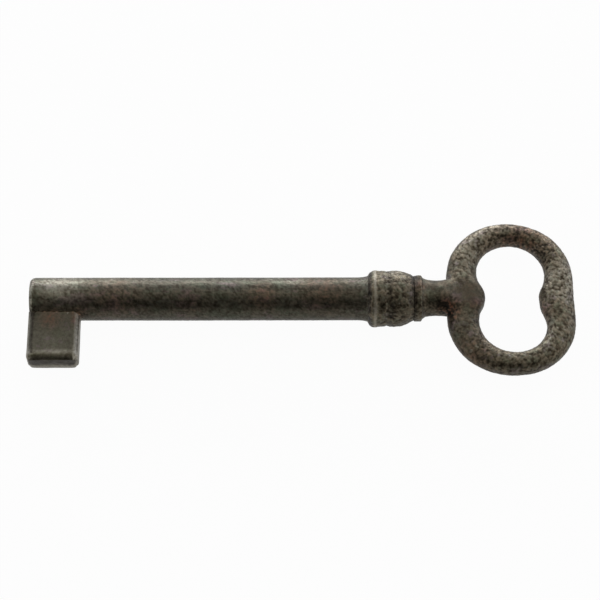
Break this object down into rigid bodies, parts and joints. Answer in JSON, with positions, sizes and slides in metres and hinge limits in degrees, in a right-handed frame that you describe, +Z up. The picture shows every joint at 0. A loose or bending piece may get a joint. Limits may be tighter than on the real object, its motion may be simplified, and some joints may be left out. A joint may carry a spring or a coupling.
{
  "type": "furniture key",
  "caption": "Hollow furniture key: bored round barrel with a blank rectangular bit, moulded ring collar, short neck and a pierced oval bow with a waisted eye.",
  "frame": {"origin": "bottom centre of the key's bounding box, on the surface that the collar lies on", "axes": "+X along the key's axis from the nose to the bow, -Y the way the bit points, +Z up, square to the bow's plane"},
  "size_m": [0.075, 0.0232, 0.0079],
  "materials": {
    "grainy_iron": "grainy as cast, dark olive-brown patina, worn a little brighter on its crests",
    "barrel_iron": "smooth satin, dark patina with faint pits, streaks and brownish patches",
    "bit_iron": "smooth satin, dark patina, edges worn brighter",
    "braze": "darkened reddish braze"
  },
  "bodies": {
    "root": {"barrel": "barrel_iron", "bit": "bit_iron", "bit_braze": "braze", "barrel_braze": "braze", "collar_flange": "grainy_iron", "collar_bead": "grainy_iron", "stem": "grainy_iron", "bow_braze": "braze", "bow": "grainy_iron"}
  },
  "joints": []
}
